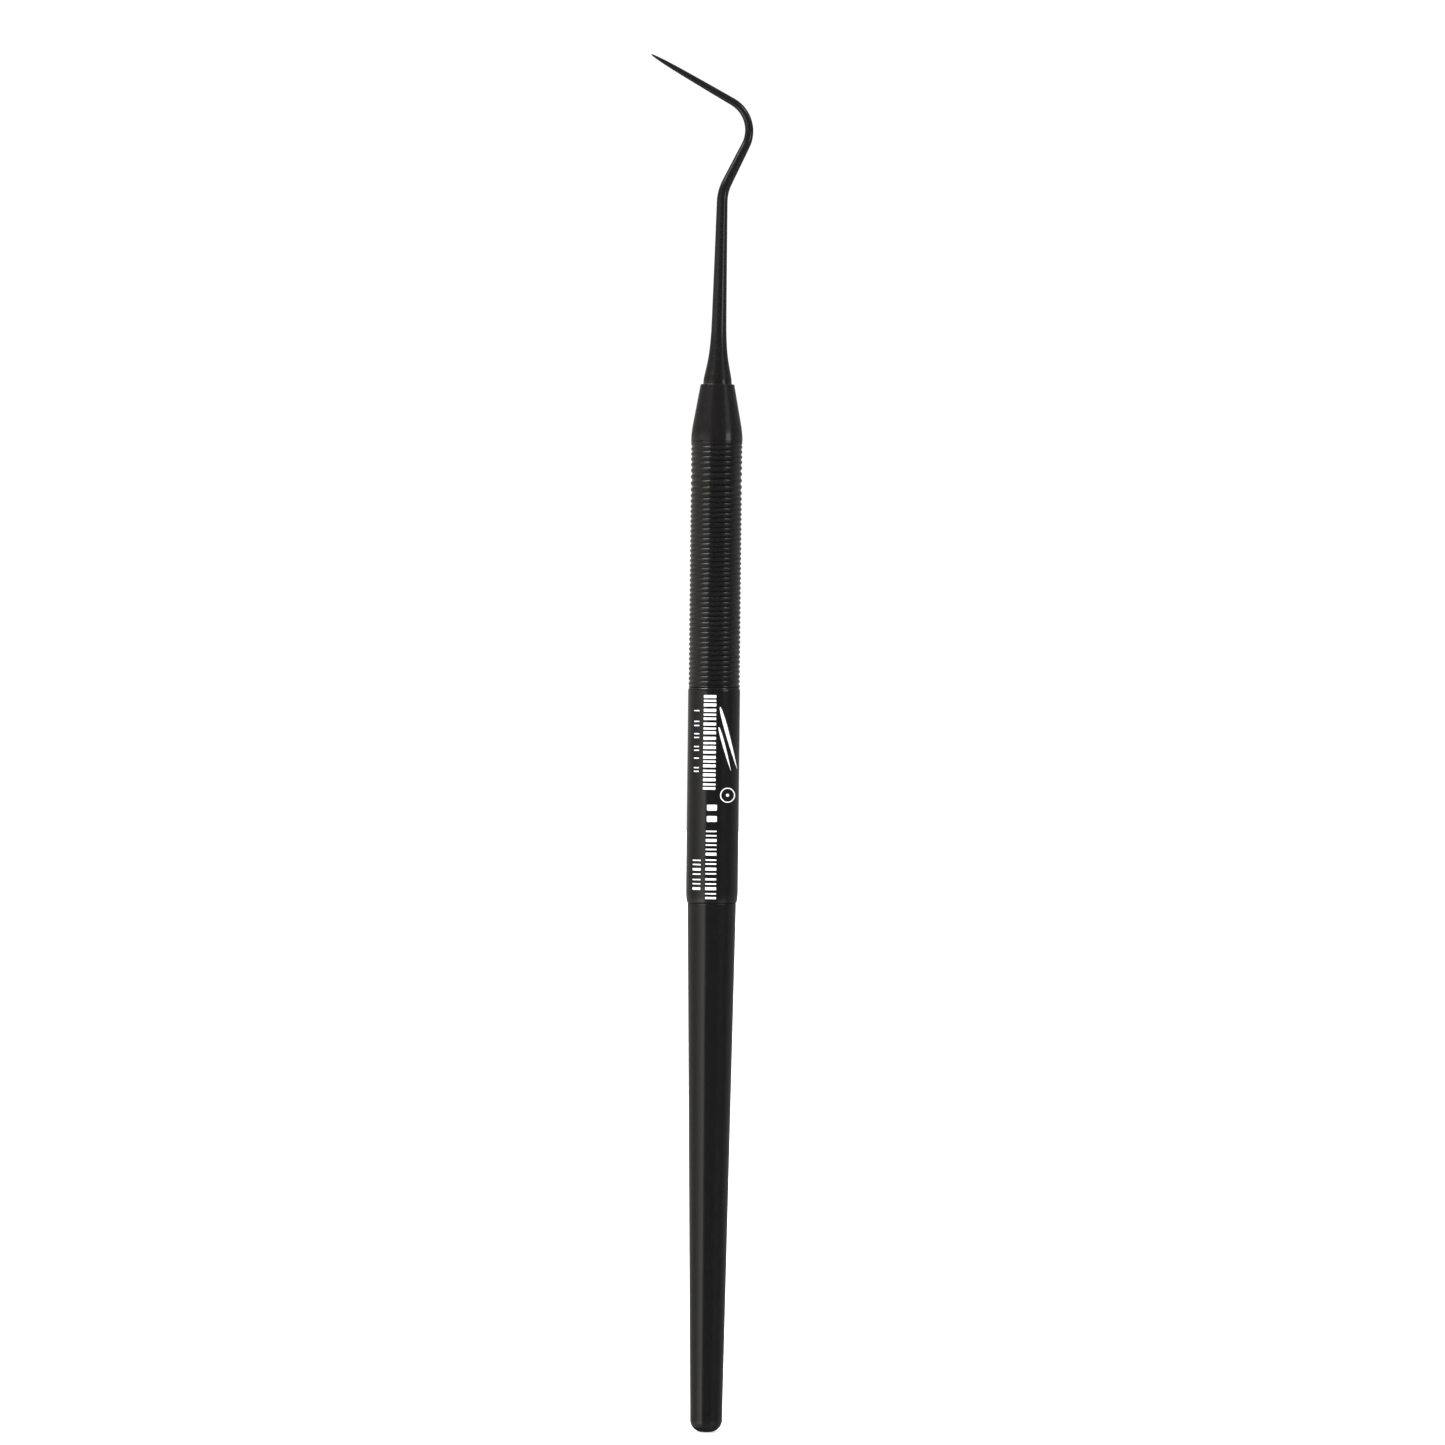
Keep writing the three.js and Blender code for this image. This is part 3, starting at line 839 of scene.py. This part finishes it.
def make_sun():
    sun = add_light("soft_top_light", "SUN", SUN_STRENGTH, angle=SUN_SPREAD)
    sun.rotation_euler = SUN_LEAN
    sun.visible_glossy = False


STRIP_AZIMUTH = math.radians(53)
STRIP_SPREAD = math.radians(11)
STRIP_DISTANCE = 350.0
STRIP_LOW = 118.0
STRIP_HIGH = 185.0
STRIP_BRIGHTNESS = 2.2


def make_strip():
    """Upright strip light at the front right, which the nose cone and the working end mirror."""
    width = 2 * STRIP_DISTANCE * math.tan(STRIP_SPREAD) * MM
    height = (STRIP_HIGH - STRIP_LOW) * MM
    strip = add_light("strip_light", "AREA", STRIP_BRIGHTNESS * math.pi * width * height,
                      shape="RECTANGLE", size=width, size_y=height)
    away = Vector((math.sin(STRIP_AZIMUTH), -math.cos(STRIP_AZIMUTH), 0))
    strip.location = (away * STRIP_DISTANCE + Vector((0, 0, (STRIP_LOW + STRIP_HIGH) / 2))) * MM
    strip.rotation_euler = (-away).to_track_quat("-Z", "Y").to_euler()
    strip.visible_camera = False
    strip.visible_diffuse = False


def make_floor():
    mesh = bpy.data.meshes.new("floor")
    r = FLOOR_REACH
    mesh.from_pydata([(-r, -r, 0), (r, -r, 0), (r, r, 0), (-r, r, 0)], [], [(0, 1, 2, 3)])
    material, n, shader = new_surface("floor_white")
    tone = n.noise(n.millimetres(), scale=0.004, detail=2.0)
    n.put(n.mix(tone, grey(FLOOR_DARK), grey(FLOOR_LIGHT)), shader.inputs["Base Color"])
    shader.inputs["Roughness"].default_value = 0.95
    shader.inputs["Emission Color"].default_value = NEUTRAL
    shader.inputs["Emission Strength"].default_value = FLOOR_GLOW
    shader.inputs["Specular IOR Level"].default_value = 0.0
    mesh.materials.append(material)
    floor = bpy.data.objects.new("floor", mesh)
    floor.visible_glossy = False
    bpy.context.scene.collection.objects.link(floor)


make_camera()
tail_coat = coating("tail_coating", COOL_BLACK, 0.17, line_stretch=(7, 7, 0.35), line_height=0.0003)
end_plug(tail_coat)
tail_tube(tail_coat)
grip_sleeve(coating(
    "sleeve_coating", COOL_BLACK, 0.14, line_stretch=(1.5, 1.5, 10), line_height=0.0002, on_thread=True,
))
nose_cone(coating(
    "nose_coating", WARM_BLACK, 0.15, line_stretch=(0.5, 0.5, 14), line_height=0.0002,
))
working_end(coating(
    "working_end_coating", WARM_BLACK, 0.15, line_stretch=(3, 3, 0.6), line_height=0.00012,
))
print_marks(white_ink())
steel = bare_steel()
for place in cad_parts["joining_plug"].material_slots:
    place.material = steel
make_studio()
make_sun()
make_strip()
make_floor()
bpy.context.scene.view_settings.view_transform = "Standard"
